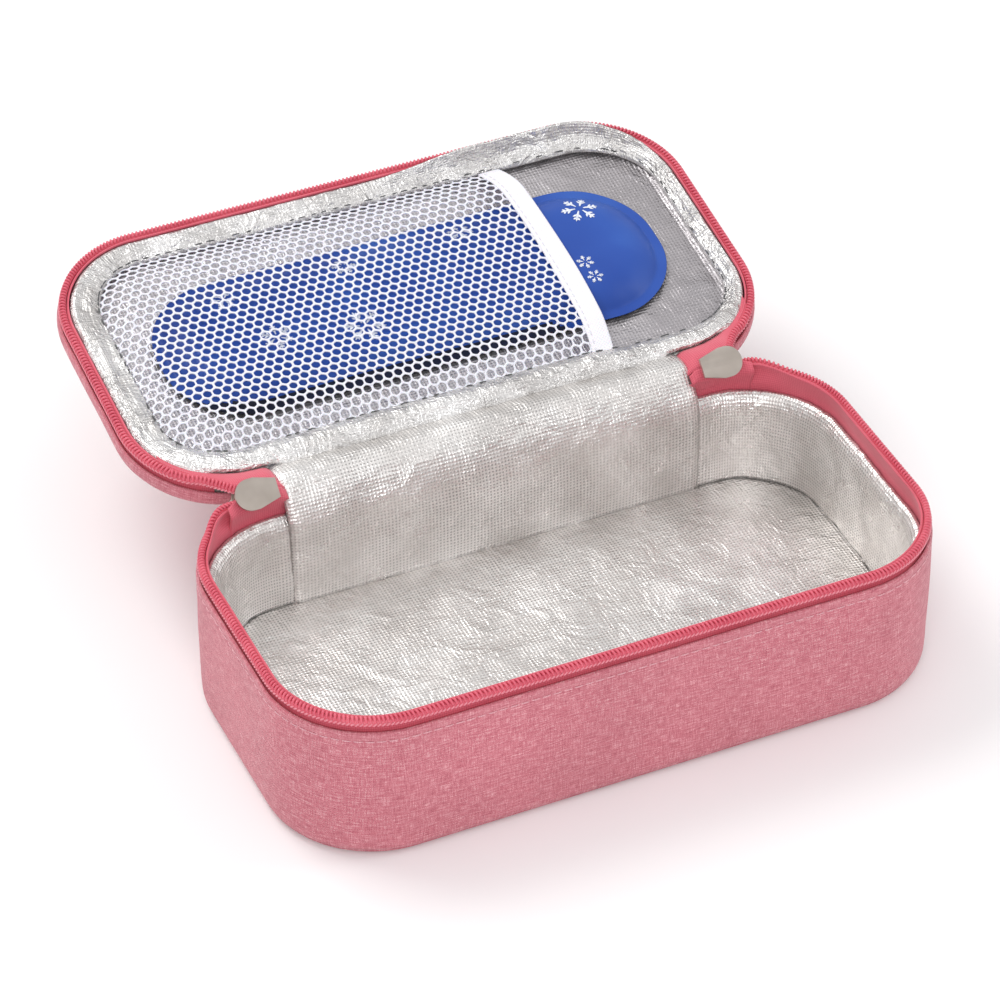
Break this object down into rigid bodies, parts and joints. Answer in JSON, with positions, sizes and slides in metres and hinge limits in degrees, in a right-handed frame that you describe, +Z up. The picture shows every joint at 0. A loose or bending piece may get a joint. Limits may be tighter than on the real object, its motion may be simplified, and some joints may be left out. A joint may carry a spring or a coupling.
{
  "type": "insulin cooling case",
  "caption": "Soft insulated zip case lying open, with a foil-lined tray, a cloth-hinged lid, a net pocket in the lid and a gel cooling pack held in the pocket.",
  "frame": {"origin": "middle of the flat bottom that the tray stands on", "axes": "+X along the case to the right seen from the front, +Y from the front to the hinge and the opened lid, +Z up"},
  "size_m": [0.2204, 0.2358, 0.0743],
  "materials": {
    "outer_cloth": "heather woven polyester",
    "board": "plain board",
    "foam": "soft insulating foam",
    "foil_lining": "silver foil-faced cloth, crinkled",
    "zip_tape": "woven zip tape",
    "zip_coil": "moulded coil",
    "white_net": "knitted net",
    "white_elastic": "knitted elastic",
    "gel_film": "glossy film",
    "gel": "soft gel",
    "slider_metal": "smooth grey plated casting"
  },
  "bodies": {
    "base": {"base_bottom_panel": "outer_cloth", "base_side_panel": "outer_cloth", "base_stiffener_board": "board", "base_bottom_foam": "foam", "base_side_foam": "foam", "base_bottom_lining": "foil_lining", "base_side_lining": "foil_lining", "base_back_lining": "foil_lining", "base_zip_tape": "zip_tape", "base_zip_coil": "zip_coil", "base_zip_end_left": "zip_tape", "base_zip_end_right": "zip_tape", "hinge_outer_strip": "outer_cloth", "hinge_lining_strip": "foil_lining"},
    "lid": {"lid_top_panel": "outer_cloth", "lid_side_panel": "outer_cloth", "lid_top_foam": "foam", "lid_side_foam": "foam", "lid_lining_panel": "foil_lining", "lid_foil_border": "foil_lining", "lid_zip_tape": "zip_tape", "lid_zip_coil": "zip_coil", "lid_zip_end_left": "zip_tape", "lid_zip_end_right": "zip_tape", "mesh_pocket": "white_net", "pocket_elastic": "white_elastic"},
    "gel_pack": {"gel_front_film": "gel_film", "gel_back_film": "gel_film", "gel_fill": "gel"},
    "slider_left": {"slider_left_body": "slider_metal"},
    "slider_right": {"slider_right_body": "slider_metal"},
    "pull_left": {"slider_left_pull": "slider_metal"},
    "pull_right": {"slider_right_pull": "slider_metal"}
  },
  "joints": [
    {"name": "lid_hinge", "type": "hinge", "parent": "base", "child": "lid", "pos_m": [0, 0.06, 0.0543], "axis": [-1, 0, 0], "range_deg": [-170, 8], "deforming": ["hinge_outer_strip", "hinge_lining_strip"]},
    {"name": "gel_pack_slide", "type": "slide", "parent": "lid", "child": "gel_pack", "axis": [1, 0, 0], "range_m": [-0.01, 0.009]},
    {"name": "slider_left_tilt", "type": "hinge", "parent": "base", "child": "slider_left", "pos_m": [-0.08, 0.05584, 0.0543], "axis": [-1, 0, 0], "range_deg": [-45.1, 2.3]},
    {"name": "slider_right_tilt", "type": "hinge", "parent": "base", "child": "slider_right", "pos_m": [0.08, 0.05584, 0.0543], "axis": [-1, 0, 0], "range_deg": [-45.1, 2.3]},
    {"name": "pull_left_swing", "type": "hinge", "parent": "slider_left", "child": "pull_left", "pos_m": [-0.0836, 0.06008, 0.05006], "axis": [0, 1, 0], "range_deg": [0, 45]},
    {"name": "pull_right_swing", "type": "hinge", "parent": "slider_right", "child": "pull_right", "pos_m": [0.0836, 0.06008, 0.05006], "axis": [0, -1, 0], "range_deg": [0, 45]}
  ],
  "couplings": [
    {"joint": "slider_left_tilt", "follows": "lid_hinge", "ratio": 0.26471},
    {"joint": "slider_right_tilt", "follows": "lid_hinge", "ratio": 0.26471}
  ]
}
